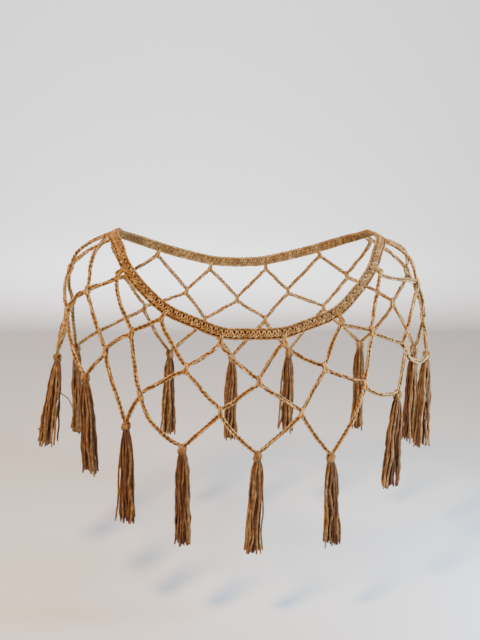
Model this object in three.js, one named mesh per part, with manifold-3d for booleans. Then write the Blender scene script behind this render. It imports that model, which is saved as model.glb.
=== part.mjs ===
// Crochet collar: a closed neck band hung with three rounds of chain loops and a fringe of tassels.
// Millimetres, +Z up, the front of the neck towards -Y, the origin on the neck axis where the band rests.
import * as THREE from 'three';
import { mergeVertices } from 'three/addons/utils/BufferGeometryUtils.js';
import Module from 'manifold-3d';

const wasm = await Module();
wasm.setup();

// Driving dimensions
const BAND_WIDTH = 12.8;
const BAND_THICKNESS = 4.4;
const BAND_CORNER = 0.55;
const BAND_SIDES = 8;
const BAND_STEPS_PER_REPEAT = 5;
const CORD_RADIUS = 2.5;
const CORD_SIDES = 5;
const CORD_STEPS = 3;
const TURN_LENGTH = 4;
const BAND_POST_LENGTH = 5.5;
const NET_POST_LENGTH = 2.5;
const POST_RADIUS = 3.2;
const POST_SIDES = 4;
const POST_BITE = 0.6;
const KNOT_WIDTH = 10.5;
const KNOT_HEIGHT = 9;
const KNOT_DEPTH = 8;
const KNOT_SIDES = 6;
const KNOT_STEPS = 4;
const LOCK_SIDES = 5;
const LOCK_STEPS = 2;
const LOCK_RADIUS_TOP = 3.5;
const LOCK_RADIUS_TIP = 2.4;
const LOCK_BULGE = 1;
const SKIRT_SPREAD_TOP = 2.2;
const SKIRT_SPREAD_TIP = 7;
const CLEARANCE = 0.3;
const YARN_COLOUR = 0xb98a55;

// Shape of the shoulders that the collar keeps: half width, front depth and back depth at each height
const SHOULDERS = [
  { height: -340, half: 222, front: 128, back: 88 },
  { height: -260, half: 222, front: 140, back: 92 },
  { height: -200, half: 221, front: 140, back: 98 },
  { height: -140, half: 219, front: 128, back: 103 },
  { height: -80, half: 212, front: 108, back: 102 },
  { height: -45, half: 206, front: 98, back: 98 },
  { height: -22, half: 197, front: 92, back: 94 },
  { height: -10, half: 184, front: 88, back: 91 },
  { height: 0, half: 164, front: 84, back: 88 },
  { height: 12, half: 136, front: 76, back: 84 },
];
const SQUARE_BELOW = 80;
const ROUND_POWER = 2;
const SQUARE_POWER = 0.4;

// One row per repeat, from the front centre round by the wearer's left, bearings in degrees from the
// front. band is where a round one loop is worked into the band. one, two and three are the low points
// of the loops of each round, with their heights. Last come the tassel's length, the sideways lean of
// its tip and how widely its skirt spreads.
const REPEATS = [
  { band: 17, one: 2.7, oneZ: -129, two: 22, twoZ: -163, three: 2.1, threeZ: -208,
    tassel: 117, lean: -3, spread: 1 },
  { band: 44, one: 33.7, oneZ: -117, two: 47.7, twoZ: -138, three: 32.7, threeZ: -213,
    tassel: 108, lean: 7, spread: 0.9 },
  { band: 64, one: 55, oneZ: -83, two: 65.2, twoZ: -104, three: 59.3, threeZ: -155,
    tassel: 113, lean: -2, spread: 1.8 },
  { band: 85, one: 79.7, oneZ: -42, two: 87, twoZ: -89, three: 82, threeZ: -131,
    tassel: 116, lean: 1, spread: 1.5 },
  { band: 108, one: 98, oneZ: -43, two: 106, twoZ: -90, three: 97, threeZ: -142,
    tassel: 123, lean: 1, spread: 1.3 },
  { band: 131, one: 121, oneZ: -62, two: 130, twoZ: -107, three: 116.5, threeZ: -152,
    tassel: 117, lean: 2, spread: 1 },
  { band: 161, one: 147, oneZ: -87, two: 160, twoZ: -126, three: 145, threeZ: -169,
    tassel: 112, lean: 1, spread: 1.1 },
  { band: 199, one: 180, oneZ: -98, two: 202, twoZ: -126, three: 183, threeZ: -177,
    tassel: 116, lean: 0, spread: 1 },
  { band: 229, one: 213, oneZ: -87, two: 232, twoZ: -107, three: 222, threeZ: -169,
    tassel: 113, lean: -2, spread: 1.1 },
  { band: 251, one: 240, oneZ: -62, two: 259, twoZ: -84, three: 256, threeZ: -146,
    tassel: 113, lean: -2, spread: 1 },
  { band: 270, one: 266, oneZ: -38, two: 281, twoZ: -75, three: 273, threeZ: -138,
    tassel: 110, lean: -16, spread: 1.9 },
  { band: 296.5, one: 287.3, oneZ: -46, two: 299.4, twoZ: -106, three: 294.8, threeZ: -138,
    tassel: 113, lean: 4, spread: 2 },
  { band: 316, one: 306, oneZ: -84, two: 313.7, twoZ: -148, three: 310.8, threeZ: -181,
    tassel: 117, lean: 0, spread: 1.2 },
  { band: 343, one: 328.5, oneZ: -117, two: 345.1, twoZ: -161, three: 330.9, threeZ: -201,
    tassel: 116, lean: 1, spread: 1.1 },
];

// Legs that aren't taut: the round, the row of its low point, the side of it that the leg comes to,
// how far the leg's middle drops below the straight way, or bows above it where less than zero, and how
// far it turns by the wearer's left, in degrees
const SLACK = [
  { round: 'one', row: 0, side: 'before', drop: 0, sway: -1.5 },
  { round: 'one', row: 0, side: 'after', drop: -7, sway: 1 },
  { round: 'one', row: 1, side: 'before', drop: -3, sway: -5 },
  { round: 'one', row: 1, side: 'after', drop: -5, sway: 1 },
  { round: 'one', row: 2, side: 'before', drop: -1, sway: -4.5 },
  { round: 'one', row: 2, side: 'after', drop: -2, sway: 0 },
  { round: 'one', row: 3, side: 'before', drop: -2, sway: -5.5 },
  { round: 'one', row: 3, side: 'after', drop: -10, sway: 1 },
  { round: 'one', row: 4, side: 'before', drop: -14, sway: 0 },
  { round: 'one', row: 10, side: 'after', drop: -16, sway: 0 },
  { round: 'one', row: 11, side: 'before', drop: -13, sway: 2.5 },
  { round: 'one', row: 11, side: 'after', drop: -3, sway: 3.5 },
  { round: 'one', row: 12, side: 'before', drop: -5, sway: -2.5 },
  { round: 'one', row: 12, side: 'after', drop: -2, sway: 1 },
  { round: 'one', row: 13, side: 'before', drop: -7, sway: -3 },
  { round: 'one', row: 13, side: 'after', drop: 0, sway: 1 },
  { round: 'two', row: 0, side: 'after', drop: -2, sway: 0 },
  { round: 'two', row: 1, side: 'after', drop: -3, sway: 0 },
  { round: 'two', row: 2, side: 'after', drop: -5, sway: 0 },
  { round: 'two', row: 9, side: 'after', drop: 3, sway: 0 },
  { round: 'two', row: 10, side: 'after', drop: -7, sway: 0 },
  { round: 'two', row: 11, side: 'after', drop: -4, sway: 0 },
  { round: 'two', row: 12, side: 'after', drop: -4, sway: 0.5 },
  { round: 'three', row: 0, side: 'before', drop: -3, sway: -3 },
  { round: 'three', row: 1, side: 'before', drop: 2, sway: 0 },
  { round: 'three', row: 1, side: 'after', drop: 5, sway: 0 },
  { round: 'three', row: 2, side: 'before', drop: 4, sway: -1 },
  { round: 'three', row: 3, side: 'before', drop: 7, sway: -5 },
  { round: 'three', row: 3, side: 'after', drop: 2, sway: 0 },
  { round: 'three', row: 5, side: 'before', drop: 4, sway: 0 },
  { round: 'three', row: 8, side: 'after', drop: 5, sway: 0 },
  { round: 'three', row: 10, side: 'after', drop: 0, sway: 3.5 },
  { round: 'three', row: 11, side: 'before', drop: 6, sway: 0 },
  { round: 'three', row: 12, side: 'after', drop: -8, sway: 0 },
  { round: 'three', row: 13, side: 'before', drop: 5, sway: -2 },
];

// Height of the middle of the band at each bearing from the front, on the wearer's left and right
const BAND_LINE = [
  { bearing: 0, left: -83.4, right: -83.4 },
  { bearing: 17, left: -82, right: -82 },
  { bearing: 30, left: -74.2, right: -72.9 },
  { bearing: 44, left: -62, right: -60 },
  { bearing: 55, left: -39.8, right: -39.6 },
  { bearing: 64, left: -17.5, right: -18 },
  { bearing: 70, left: -6.2, right: -5.8 },
  { bearing: 77, left: -0.2, right: 1.2 },
  { bearing: 85, left: 3.2, right: 4.3 },
  { bearing: 95, left: 4.2, right: 5 },
  { bearing: 103, left: -0.2, right: 0 },
  { bearing: 115, left: -12, right: -12 },
  { bearing: 135, left: -33, right: -33 },
  { bearing: 160, left: -48, right: -48 },
  { bearing: 180, left: -51, right: -51 },
];

const COUNT = REPEATS.length;

// Value of one column of a table at a place along it, on a smooth cubic curve through the rows
function column(rows, key, place, name) {
  const last = rows.length - 1;
  let row = 0;
  while (row < last - 1 && rows[row + 1][key] < place) row += 1;
  const slope = (index) => {
    const before = rows[Math.max(index - 1, 0)];
    const after = rows[Math.min(index + 1, last)];
    return (after[name] - before[name]) / (after[key] - before[key]);
  };
  const width = rows[row + 1][key] - rows[row][key];
  const share = (place - rows[row][key]) / width;
  const slopeIn = slope(row) * width;
  const slopeOut = slope(row + 1) * width;
  const rise = rows[row + 1][name] - rows[row][name];
  const bend = 3 * rise - 2 * slopeIn - slopeOut;
  const twist = slopeIn + slopeOut - 2 * rise;
  return rows[row][name] + share * (slopeIn + share * (bend + share * twist));
}

// Point of the shoulders at a bearing and height, on a squared ellipse across each level
function onShoulders(bearing, height) {
  const angle = THREE.MathUtils.degToRad(bearing);
  const side = Math.sin(angle);
  const ahead = Math.cos(angle);
  const half = column(SHOULDERS, 'height', height, 'half');
  const depth = column(SHOULDERS, 'height', height, ahead > 0 ? 'front' : 'back');
  const power = ROUND_POWER + SQUARE_POWER * THREE.MathUtils.clamp(-height / SQUARE_BELOW, 0, 1);
  const sum = (Math.abs(side) / half) ** power + (Math.abs(ahead) / depth) ** power;
  const reach = sum ** (-1 / power);
  return new THREE.Vector3(reach * side, -reach * ahead, height);
}

// Directions on the shoulders at a bearing and height: round the body, and straight out from it
function around(bearing, height) {
  const step = 1;
  return onShoulders(bearing + step, height).sub(onShoulders(bearing - step, height)).normalize();
}

function outward(bearing, height) {
  const step = 1;
  const down = onShoulders(bearing, height - step).sub(onShoulders(bearing, height + step));
  return down.cross(around(bearing, height)).normalize();
}

// Closed mesh as a solid, and a solid as a mesh's geometry
function toSolid(geometry) {
  const bare = geometry.clone();
  bare.deleteAttribute('normal');
  bare.deleteAttribute('uv');
  const merged = mergeVertices(bare, 1e-4);
  return new wasm.Manifold(new wasm.Mesh({
    numProp: 3,
    vertProperties: new Float32Array(merged.attributes.position.array),
    triVerts: new Uint32Array(merged.index.array),
  }));
}

function toGeometry(solid) {
  const mesh = solid.getMesh();
  const geometry = new THREE.BufferGeometry();
  geometry.setAttribute('position', new THREE.BufferAttribute(mesh.vertProperties, 3));
  geometry.setIndex(new THREE.BufferAttribute(mesh.triVerts, 1));
  geometry.computeVertexNormals();
  return geometry;
}

// Closed cord or band through a ring of stations, mitred where it turns
function sweepRing(stations, sides, sectionAt) {
  const count = stations.length;
  const ring = new THREE.TorusGeometry(2, 1, sides, count);
  const position = ring.attributes.position;
  for (let step = 0; step <= count; step += 1) {
    const { place, out } = stations[step % count];
    const ahead = stations[(step + 1) % count].place.clone().sub(place).normalize();
    const behind = place.clone().sub(stations[(step + count - 1) % count].place).normalize();
    const mitre = 1 / Math.cos(ahead.angleTo(behind) / 2);
    const across = ahead.add(behind).cross(out).normalize().multiplyScalar(mitre);
    for (let side = 0; side <= sides; side += 1) {
      const section = sectionAt((side / sides) * 2 * Math.PI);
      const point = place.clone().addScaledVector(across, section.across);
      point.addScaledVector(out, section.out);
      position.setXYZ(side * (count + 1) + step, point.x, point.y, point.z);
    }
  }
  return toSolid(ring);
}

// Flat band round the neck: its section is a soft rectangle that lies on the shoulders
function bandHeight(bearing) {
  const turned = THREE.MathUtils.euclideanModulo(bearing, 360);
  return turned > 180
    ? column(BAND_LINE, 'bearing', 360 - turned, 'right')
    : column(BAND_LINE, 'bearing', turned, 'left');
}

function bandSection(turn, margin) {
  const soften = (value) => Math.sign(value) * Math.abs(value) ** BAND_CORNER;
  const angle = turn + Math.PI / BAND_SIDES;
  return {
    across: (BAND_WIDTH / 2 + margin) * soften(Math.cos(angle)),
    out: (BAND_THICKNESS / 2 + margin) * soften(Math.sin(angle)),
  };
}

function bandSolid(margin) {
  const stations = [];
  REPEATS.forEach((row, k) => {
    const end = k + 1 < COUNT ? REPEATS[k + 1].band : REPEATS[0].band + 360;
    for (let step = 0; step < BAND_STEPS_PER_REPEAT; step += 1) {
      const bearing = THREE.MathUtils.lerp(row.band, end, step / BAND_STEPS_PER_REPEAT);
      const height = bandHeight(bearing);
      stations.push({ place: onShoulders(bearing, height), out: outward(bearing, height) });
    }
  });
  return sweepRing(stations, BAND_SIDES, (turn) => bandSection(turn, margin));
}

// Bearing counted on from a neighbour without a jump at the front centre
function near(bearing, neighbour) {
  return bearing + 360 * Math.round((neighbour - bearing) / 360);
}

// Place below a stitch, towards the middle of the two low points that its chains run to
function below(stitch, before, after, drop) {
  const aim = {
    bearing: (near(before.bearing, stitch.bearing) + near(after.bearing, stitch.bearing)) / 2,
    height: (before.height + after.height) / 2,
  };
  const reach = onShoulders(stitch.bearing, stitch.height).distanceTo(onShoulders(aim.bearing, aim.height));
  return {
    bearing: THREE.MathUtils.lerp(stitch.bearing, aim.bearing, drop / reach),
    height: THREE.MathUtils.lerp(stitch.height, aim.height, drop / reach),
  };
}

// Place at a distance below the middle of the band, square to it
function besideBand(bearing, distance) {
  const onBand = (angle) => onShoulders(angle, bandHeight(angle));
  const along = onBand(bearing + 1).sub(onBand(bearing - 1));
  const down = along.cross(outward(bearing, bandHeight(bearing))).normalize();
  const place = onBand(bearing).addScaledVector(down, distance);
  const turned = THREE.MathUtils.radToDeg(Math.atan2(place.x, -place.y));
  return { bearing: near(turned, bearing), height: place.z };
}

function post(from, to) {
  const top = onShoulders(from.bearing, from.height);
  const bottom = onShoulders(to.bearing, to.height);
  const axis = top.clone().sub(bottom);
  const geometry = new THREE.CylinderGeometry(POST_RADIUS, POST_RADIUS, axis.length(), POST_SIDES);
  const upright = new THREE.Vector3(0, 1, 0);
  geometry.applyQuaternion(new THREE.Quaternion().setFromUnitVectors(upright, axis.normalize()));
  const middle = top.add(bottom).multiplyScalar(0.5);
  return toSolid(geometry.translate(middle.x, middle.y, middle.z));
}

// Leg of chain between two corners, laid on the shoulders with some slack
function legStations(from, to, slack) {
  const stations = [];
  for (let step = 1; step < CORD_STEPS; step += 1) {
    const share = step / CORD_STEPS;
    const bow = 4 * share * (1 - share);
    const taut = THREE.MathUtils.lerp(from.bearing, near(to.bearing, from.bearing), share);
    const bearing = taut + bow * slack.sway;
    const height = THREE.MathUtils.lerp(from.height, to.height, share) - bow * slack.drop;
    stations.push({ place: onShoulders(bearing, height), out: outward(bearing, height) });
  }
  return stations;
}

// Short straight stretch where the chain turns at a corner between two legs
function turnStations(corner, legBefore, legAfter) {
  const place = onShoulders(corner.bearing, corner.height);
  const arriving = place.clone().sub(legBefore.at(-1).place).normalize();
  const leaving = legAfter[0].place.clone().sub(place).normalize();
  const along = arriving.add(leaving).normalize();
  return [-1, 1].map((side) => ({
    place: place.clone().addScaledVector(along, (side * TURN_LENGTH) / 2),
    out: outward(corner.bearing, corner.height),
  }));
}

// How far the middle of the leg on one side of a low point drops and turns
function slackOf(round, row, side) {
  const entry = SLACK.find((leg) => leg.round === round && leg.row === row && leg.side === side);
  return entry ?? { drop: 0, sway: 0 };
}

// Chain of one round, closed round the body: from each low point up to a peak and on down again
function chainSolid(round, margin) {
  const legs = [];
  round.lows.forEach((low, k) => {
    const peak = round.peaks[k];
    const next = round.lows[(k + 1) % COUNT];
    const rising = legStations(low, peak, slackOf(round.name, low.row, 'after'));
    const falling = legStations(peak, next, slackOf(round.name, next.row, 'before'));
    legs.push({ from: low, stations: rising }, { from: peak, stations: falling });
  });
  const stations = legs.flatMap((leg, index) => {
    const before = legs.at(index - 1).stations;
    return [...turnStations(leg.from, before, leg.stations), ...leg.stations];
  });
  const radius = CORD_RADIUS + margin;
  const section = (turn) => ({ across: radius * Math.cos(turn), out: radius * Math.sin(turn) });
  return sweepRing(stations, CORD_SIDES, section);
}

// Places below the stitches of a round, on the way to the low points that their chains run to
function hung(stitches, lows, drop) {
  return stitches.map((stitch, k) => below(stitch, lows[k], lows[(k + 1) % COUNT], drop));
}

// Chain and posts of a round in one, trimmed a little clear of what they are worked into
function roundSolid(round, carrier) {
  const posts = round.tops.map((top, k) => post(top, round.peaks[k]));
  return wasm.Manifold.union([chainSolid(round, 0), ...posts]).subtract(carrier);
}

// Tassel tied round the low point of a round three loop: a knot and a skirt of strand locks
const LOCKS = [
  { around: 0, length: 1, spread: 0.15 },
  { around: 20, length: 0.97, spread: 1 },
  { around: 95, length: 0.93, spread: 0.55 },
  { around: 170, length: 0.99, spread: 0.95 },
  { around: 265, length: 0.95, spread: 0.6 },
];

function lock(row, skirt) {
  const length = (skirt.length - KNOT_HEIGHT / 2) * row.length;
  const strand = new THREE.CylinderGeometry(1, 1, 1, LOCK_SIDES, LOCK_STEPS);
  strand.rotateX(Math.PI / 2);
  const turn = THREE.MathUtils.degToRad(row.around + skirt.turn);
  const position = strand.attributes.position;
  for (let index = 0; index < position.count; index += 1) {
    const share = THREE.MathUtils.clamp(0.5 - position.getZ(index), 0, 1);
    const taper = THREE.MathUtils.lerp(LOCK_RADIUS_TOP, LOCK_RADIUS_TIP, share);
    const radius = taper + LOCK_BULGE * Math.sin(Math.PI * share);
    const spread = THREE.MathUtils.lerp(SKIRT_SPREAD_TOP, SKIRT_SPREAD_TIP * skirt.spread, share) * row.spread;
    const side = position.getX(index) * radius + spread * Math.cos(turn) + skirt.lean * share;
    const ahead = position.getY(index) * radius + spread * Math.sin(turn);
    position.setXYZ(index, side, ahead, -KNOT_HEIGHT / 2 - share * length);
  }
  return toSolid(strand);
}

function tassel(row) {
  const skirt = { length: row.tassel, lean: row.lean, spread: row.spread, turn: row.three };
  const knot = new THREE.SphereGeometry(1, KNOT_SIDES, KNOT_STEPS);
  knot.rotateX(Math.PI / 2);
  knot.scale(KNOT_WIDTH / 2, KNOT_DEPTH / 2, KNOT_HEIGHT / 2);
  knot.translate(0, 0, -KNOT_HEIGHT / 2);
  knot.rotateZ(THREE.MathUtils.degToRad(row.three));
  return wasm.Manifold.union([toSolid(knot), ...LOCKS.map((lockRow) => lock(lockRow, skirt))]);
}

const yarn = new THREE.MeshStandardMaterial({ color: YARN_COLOUR, roughness: 0.9, metalness: 0 });
const collar = new THREE.Group();

function addPiece(name, solid, place) {
  const mesh = new THREE.Mesh(toGeometry(solid), yarn.clone());
  mesh.name = name;
  if (place) mesh.position.copy(place);
  collar.add(mesh);
}

const lowPoints = (name) => REPEATS.map((values, row) => (
  { row, bearing: values[name], height: values[`${name}Z`] }
));
const lowsOne = lowPoints('one');
const lowsTwo = lowPoints('two');
const lowsTwoFromBack = lowsTwo.map((low, k) => lowsTwo.at(k - 1));
const lowsThree = lowPoints('three');
const bandEdge = BAND_WIDTH / 2 - POST_BITE;
const belowCord = CORD_RADIUS - POST_BITE;
const atBand = (distance) => REPEATS.map((values) => besideBand(values.band, distance));

// Each round of the net: low point k comes before the stitch of post k, which ends at peak k
const roundOne = {
  name: 'one',
  lows: lowsOne,
  tops: atBand(bandEdge),
  peaks: atBand(bandEdge + BAND_POST_LENGTH),
};
const roundTwo = {
  name: 'two',
  lows: lowsTwoFromBack,
  tops: hung(lowsOne, lowsTwoFromBack, belowCord),
  peaks: hung(lowsOne, lowsTwoFromBack, belowCord + NET_POST_LENGTH),
};
const roundThree = {
  name: 'three',
  lows: lowsThree,
  tops: hung(lowsTwo, lowsThree, belowCord),
  peaks: hung(lowsTwo, lowsThree, belowCord + NET_POST_LENGTH),
};

addPiece('neck_band', bandSolid(0));
addPiece('net_round_1', roundSolid(roundOne, bandSolid(CLEARANCE)));
addPiece('net_round_2', roundSolid(roundTwo, chainSolid(roundOne, CLEARANCE)));
addPiece('net_round_3', roundSolid(roundThree, chainSolid(roundTwo, CLEARANCE)));

REPEATS.forEach((row, k) => {
  const place = onShoulders(row.three, row.threeZ);
  place.z -= CORD_RADIUS + CLEARANCE;
  const loop = chainSolid(roundThree, CLEARANCE).translate(place.clone().negate().toArray());
  addPiece(`tassel_${String(k + 1).padStart(2, '0')}`, tassel(row).subtract(loop), place);
});

export default collar;
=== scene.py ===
import math
from collections import namedtuple

import bmesh
import bpy
import numpy as np
from mathutils import Matrix, Vector


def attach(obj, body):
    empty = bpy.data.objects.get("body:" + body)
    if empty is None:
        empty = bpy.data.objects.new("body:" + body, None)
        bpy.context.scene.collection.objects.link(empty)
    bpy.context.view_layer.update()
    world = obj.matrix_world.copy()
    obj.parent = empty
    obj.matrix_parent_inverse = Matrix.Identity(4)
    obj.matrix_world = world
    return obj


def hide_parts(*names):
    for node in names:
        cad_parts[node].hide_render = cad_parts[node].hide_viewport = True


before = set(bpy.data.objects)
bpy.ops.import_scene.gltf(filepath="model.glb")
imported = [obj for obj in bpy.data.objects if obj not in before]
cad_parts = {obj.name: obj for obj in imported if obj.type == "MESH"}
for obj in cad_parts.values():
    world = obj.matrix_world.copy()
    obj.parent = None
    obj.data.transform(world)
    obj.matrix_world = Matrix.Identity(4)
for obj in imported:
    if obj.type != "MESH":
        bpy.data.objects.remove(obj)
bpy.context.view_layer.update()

MM = 0.001
TURN = 2 * math.pi
GOLDEN_ANGLE = math.pi * (3 - math.sqrt(5))
RIGHT = np.array([1.0, 0.0, 0.0])
BACK = np.array([0.0, 1.0, 0.0])
UP = np.array([0.0, 0.0, 1.0])

# Camera, which sees the collar at the photograph's angle
IMAGE_WIDTH = 480
IMAGE_HEIGHT = 640
FOCAL_PIXELS = 950
ORIGIN_PIXEL_X = 246
ORIGIN_PIXEL_Y = 238
CAMERA_DISTANCE = 1.1
CAMERA_AZIMUTH = -5.0
CAMERA_PITCH = 16.0
CAMERA_ROLL = 1.3
SENSOR_HEIGHT = 24.0

# Sizes shared with the solids that the yarn stands for
BAND_WIDTH = 12.8
CORD_RADIUS = 2.5
BAND_POST_LENGTH = 5.5
NET_POST_LENGTH = 2.5
POST_BITE = 0.6
CLEARANCE = 0.3
WAY_STEP = 0.5
BEARING_STEP = 0.5
LEG_STEPS = 24
CORNER_ROUNDING = 1.6

# Tubes of yarn, which carry a UV map along and round them, and how open they lie, which sets their painted
# shade
YARN_RADIUS = 1.08
YARN_SIDES = 7
LEAST_SIDESTEP = 1e-3
STITCH_STEPS = 2
UV_NAME = "yarn"
SHADE_MASK_NAME = "open"

# Band of crochet, with its upper rim and its lower edge
BAND_SEED = 11
BAND_PITCH = 5.8
BAND_YARN_RADIUS = 0.97
BAND_YARN_SIDES = 5
LEG_YARN_RADIUS = 0.84
INNER_SIDES = 4
STITCH_WOBBLE = 0.08
# Painted shade on the band: how far from its middle the yarn lies fully open, the half width of that middle,
# and how far in front of each filling strand its shade centre lies
BAND_SHADE_REACH = 2.1
BAND_SHADE_CORE_HALF = 4.6
CORE_SHADE_OUT = 0.6
RIM_ACROSS = 5.0
RIM_TILT = 0.25
RIM_SCALE = (0.55, 0.75)
EDGE_ACROSS = -4.15
EDGE_TILT = -0.1

# Chains, which are narrower where a low point is gripped
CHAIN_SEED = 20
CHAIN_PITCH = 5.2
CHAIN_WOBBLE = 0.09
# Painted shade in the chain: how far from its middle the yarn lies fully open, and the core strand inside
# it, which is painted partly dark so the holes read dark
CHAIN_SHADE_REACH = 2.4
CHAIN_CORE_RADIUS = 0.95
CHAIN_CORE_SIDES = 6
CHAIN_CORE_OUT = -0.35
CHAIN_CORE_SHADE_REACH = 1.42
CORE_STEPS_PER_STITCH = 2
PINCH = 0.45
PINCH_REACH = 5.0

# Slow waves in which a chain rolls round its own way: their whole reach, and each wave's turns and share
ROLL_REACH = 1.25
ROLL_GAIN = 1.6
ROLL_WAVES = 5
ROLL_TURNS = (8, 46)
ROLL_SHARE = (0.4, 1)

# How far a post's strands go round what it hangs from: reach above it, and depth to each side
BAND_WRAP = (2.6, 1.9)
CORD_WRAP = (5.5, 2.6)

# Posts, from the crown over what they hang from to the toe: half widths, places along and depths
POST_HEAD = (1.0, 1.3)
POST_FOOT = (1.5, 1.8)
POST_LEAN = 0.15
CROWN_WIDTH = 0.8
WRAP_SHOULDER = 0.55
WRAP_END = 0.3
WAIST = 0.45
WAIST_DEPTH = 1.5
FOOT_ABOVE = 0.8
FOOT_DEPTH = 2.3
TURN_BELOW = 2.2
TURN_WIDTH = 0.9
TURN_DEPTH = 1.7
TOE_BELOW = 3.2
TOE_WIDTH = 0.8
POST_STEPS = 3
POST_CORE_RADIUS = 1.6
POST_CORE_PAST = 1
POST_CORE_STEPS = 5

# Tassels: the skirt of strands under the knot
TASSEL_SEED = 100
STRAND_ENDS = 25
STRAND_STEPS = 36
STRAND_SIDES = 6
STRAND_RADIUS = 1.2
STRAND_LENGTH = (0.94, 1.0)
# STRAND_SHADE scales each strand's painted shade at random, and NECK_SHADE deepens the painted shade at the
# neck under the knot
STRAND_SHADE = (0.92, 1.4)
SKIRT_TOP = -2.5
SKIRT_SWELL = (4.4, 2.9)
SWELL_DEPTH = 11.0
SKIRT_STEP_POWER = 1.3
NECK_HEIGHT = -6.0
NECK_SQUEEZE = 0.6
NECK_SHADE = 0.2
NECK_REACH = (3.2, 2.5)
TIP_SCATTER = 0.22
TIP_TAPER = 0.8

# Tassels: how each strand waves, kinks, and flicks out near its tip
WAVE_COUNT = (1.0, 2.4)
WAVE_SIZE = (0.4, 1.5)
KINK_COUNT = (3.5, 7.5)
KINK_SIZE = (0.1, 0.4)
FLICK_MEAN = 0.9
FLICK_MOST = 3
FLICK_SCATTER = 0.5
FLICK_FROM = 0.6

# Tassels: how strands push each other aside, and the gap that keeps a strand from pushing itself
PACK_TURNS = 12
PACK_PUSH = 0.45
PACK_CLOSENESS = 0.93
PACK_MEMORY = 0.8
OWN_GAP = 1e3

# Tassels: the knot, and the strands that stray from the skirt
KNOT_YARN_RADIUS = 1.42
KNOT_WOBBLE = 0.12
KNOT_TILT = 0.38
KNOT_HALVES = (1.06, 0.94)
KNOT_BACK = 0.8
KNOT_BACK_STEP = 0.5
KNOT_STEPS = 3
# Painted shade on the knot: how far its strands lie from their shade centre to be fully open, and the height
# that centre keeps to above it; the core strands below have a shade reach of their own
KNOT_SHADE_REACH = 4.3
KNOT_SHADE_CENTRE_TOP = 2.0
KNOT_CORE_RADIUS = 2.0
KNOT_CORE_SHADE_REACH = 2.6
KNOT_CORE_BOTTOM = -4.3
KNOT_CORE_TAPER = 0.8
KNOT_CORE_STEPS = 5
STRAY_RADIUS = 0.75
STRAY_STEPS = 4

# Strands across a knot's front, from the lowest: half width, depth, and heights of the middle and the fold
Arc = namedtuple("Arc", "reach front bottom top")
KNOT_ARCS = [
    Arc(4.1, 2.6, -3.9, 2.4),
    Arc(4.0, 3.6, -1.8, 3.4),
    Arc(2.3, 4.1, 0.2, 4.1),
    Arc(0.9, 3.9, 2.0, 4.4),
]

# Half of such a strand, from behind the skirt over the chain to the front. Each point lies to the side by
# shares of the place behind, width and hand, back by a size and a share of the depth in front, and up by
# shares of the heights and a size.
Fold = namedtuple("Fold", "behind wide hand back front top bottom up")
KNOT_FOLD = [
    Fold(0.6, 0, 0, 1.2, 0, 0, 0, -7.0),
    Fold(1, 0, 0, 2.9, 0, 0, 0, -2.5),
    Fold(0.9, 0, 0, 3.2, 0, 0, 0, 2.0),
    Fold(0, 0, 0.4, 1.2, 0, 1, 0, 0),
    Fold(0, 0.5, 0, -1.4, 0, 0.62, 0.38, 0),
    Fold(0, 1, 0, -1.3, 0, 0, 1, 2.0),
    Fold(0, 0.68, 0, 0, 0.9, 0, 1, 0.5),
]

# Strands under those, which close the knot's sides: side, place back from the middle, and height of the top
Core = namedtuple("Core", "side back top")
KNOT_CORES = [
    Core(0.0, 0.0, 2.2),
    Core(-2.4, 0.4, 0.6),
    Core(2.4, 0.4, 0.6),
    Core(-1.5, 1.8, 0.2),
    Core(1.5, 1.8, 0.2),
]

# Strands that stray from their skirt: the tassel, and their way to the right of the knot, back and up
Stray = namedtuple("Stray", "tassel way")
STRAYS = [
    Stray(11, [(0, -2, -6), (-1, -5, -20), (-1, -6, -34), (1, -6, -39), (5, -5, -44), (11, -3, -50),
               (14, -2, -57), (17, -1, -66)]),
    Stray(11, [(0, -2, -6), (-5, -5, -25), (-9, -5, -50), (-13, -4, -72), (-18, -4, -81), (-26, -4, -89)]),
]

# Yarn colours: three tones of the dye, and the colour of the painted shade on yarn that lies deep in the
# work
Tones = namedtuple("Tones", "deep middle pale hidden")
CROCHET_TONES = Tones(
    deep=(0.25, 0.11, 0.022),
    middle=(0.46, 0.245, 0.066),
    pale=(0.84, 0.56, 0.24),
    hidden=(0.045, 0.018, 0.005),
)
# The tassels' tones are a darker copy of the crochet's: painted shade for tassels that hang low and catch
# less light
SHADED_FRINGE_TONES = Tones(
    deep=(0.15, 0.058, 0.010),
    middle=(0.25, 0.12, 0.030),
    pale=(0.48, 0.30, 0.12),
    hidden=(0.38, 0.22, 0.11),
)
UNTINTED = (1.0, 1.0, 1.0)
TONE_STOPS = (0.28, 0.5, 0.72)
TONE_SCALE = 160.0
TONE_DETAIL = 4.0
TONE_ROUGHNESS = 0.6
# Painted shade: yarn less open than the first share takes the full shade colour, yarn more open than the
# second none
FULL_SHADE_BELOW = 0.52
NO_SHADE_ABOVE = 0.95

# Yarn finish: plies, with painted shade in the grooves between them, fibres and sheen
PLY_COUNT = 4
PLY_TURNS_PER_METRE = 270.0
PLY_DEPTH = 0.35
PLY_SHADE_LOW = 0.4
PLY_SHADE_RISE = 0.7
PLY_SHADE_MIX = 0.9
FIBRE_SCALE = 900.0
FIBRE_STRETCH = (1.0, 0.02, 1.0)
FIBRE_DETAIL = 3.0
FIBRE_ROUGHNESS = 0.5
FIBRE_MIX = 0.35
FIBRE_RELIEF = 0.35
YARN_ROUGHNESS = 0.82
SHEEN_WEIGHT = 0.12
SHEEN_ROUGHNESS = 0.4
SHEEN_TINT = (1.0, 0.86, 0.68, 1.0)

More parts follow.
